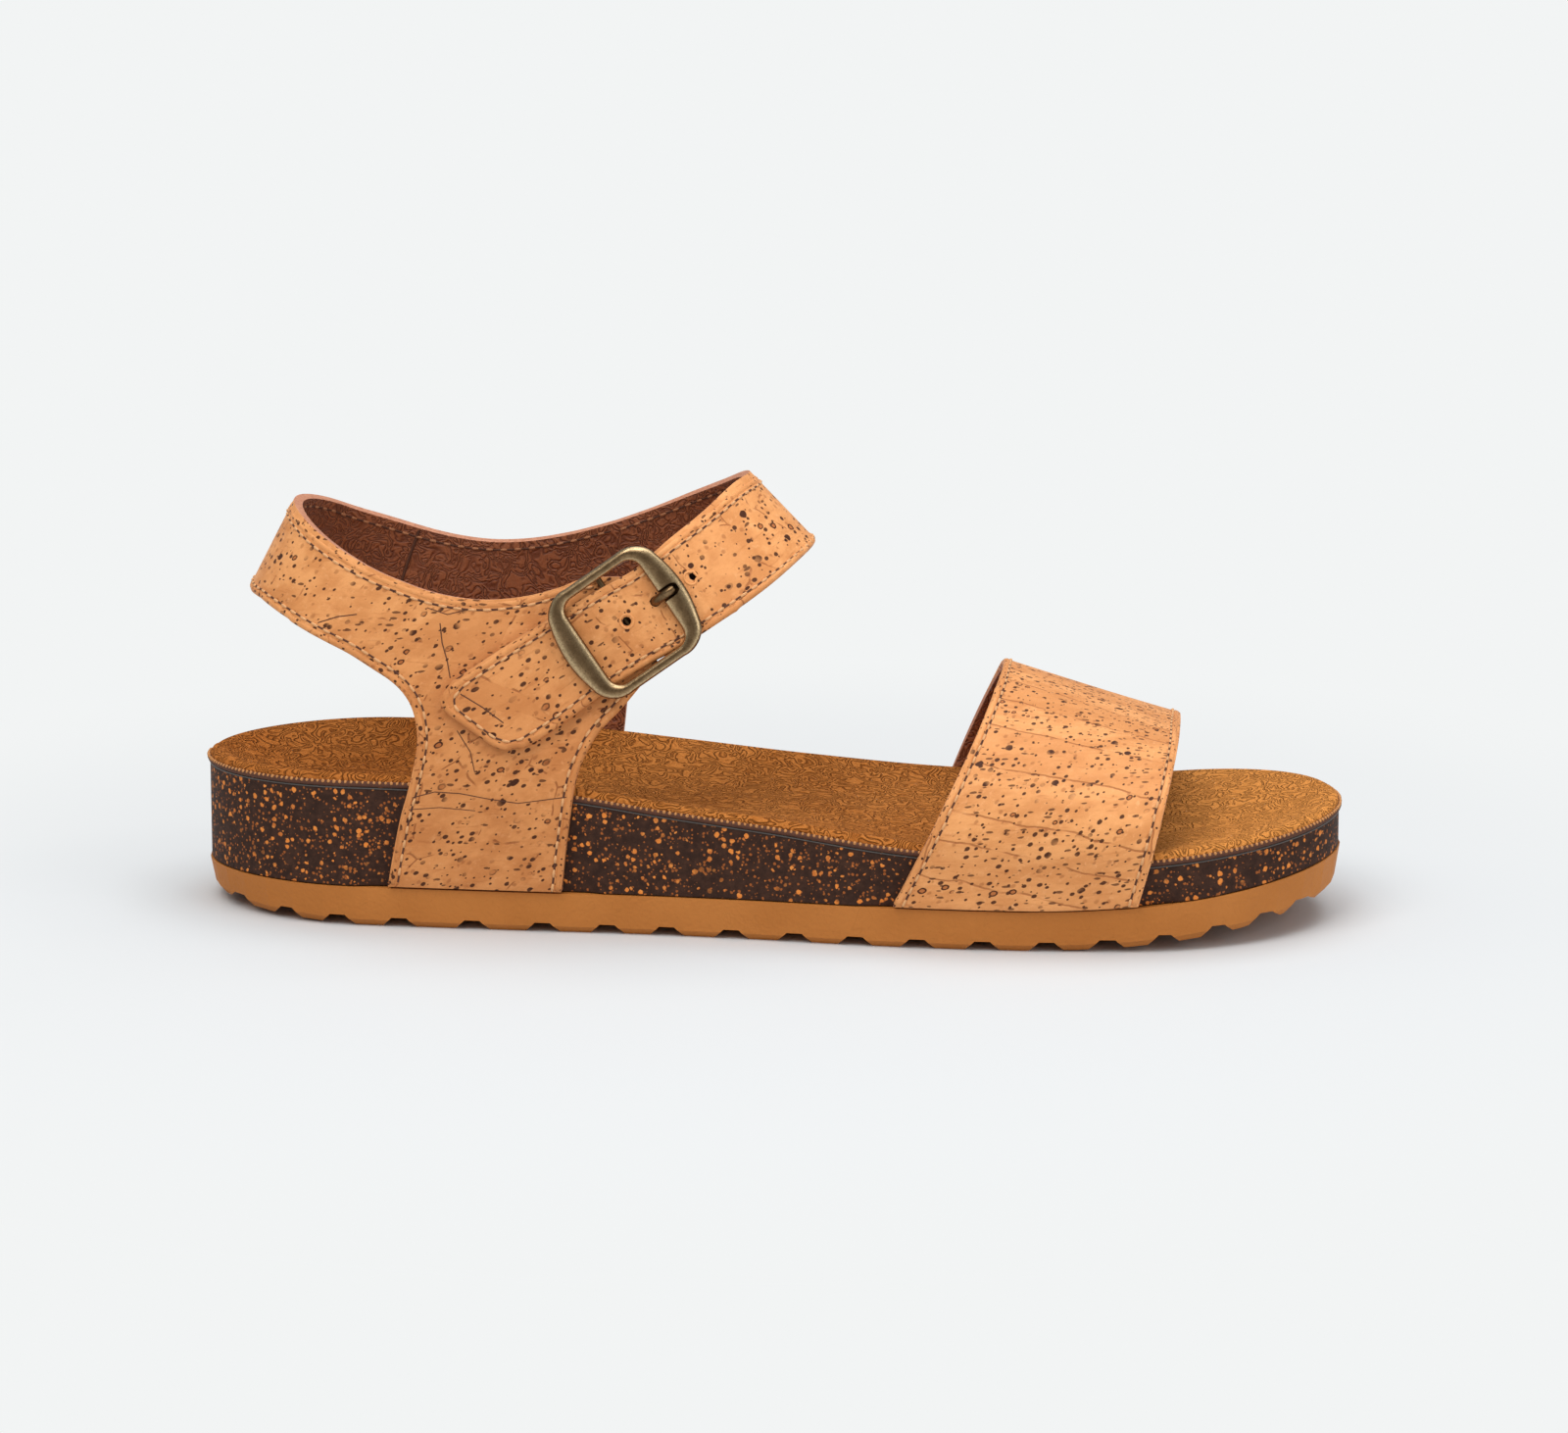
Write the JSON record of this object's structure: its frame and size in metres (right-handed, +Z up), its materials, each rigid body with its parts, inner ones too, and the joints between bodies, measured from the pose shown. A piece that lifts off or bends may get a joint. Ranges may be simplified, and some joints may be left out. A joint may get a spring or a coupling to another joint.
{
  "type": "cork footbed sandal",
  "caption": "Right sandal with a dished suede footbed on a granulated cork midsole and lugged rubber outsole, a wide toe strap, a heel sling and a buckled front strap in cork fabric",
  "frame": {"origin": "middle of the box of the whole shoe, on the floor under the sole", "axes": "+X from heel to toe, +Y to the inner side of the right foot, +Z up"},
  "size_m": [0.256, 0.0914, 0.0982],
  "materials": {
    "outsole": "matte gum rubber with a fine pebble grain",
    "midsole": "dark cork and rubber mix with orange cork granules",
    "footbed": "tan suede with a curly nap",
    "cork_fabric": "cork fabric with brown pores, lined with red-brown suede",
    "buckle": "antique brass, polished on its edges"
  },
  "bodies": {
    "root": {"outsole": "outsole", "midsole": "midsole", "footbed": "footbed", "toe_strap": "cork_fabric", "ankle_upper": "cork_fabric", "buckle_frame": "buckle", "buckle_prong": "buckle"}
  },
  "joints": []
}
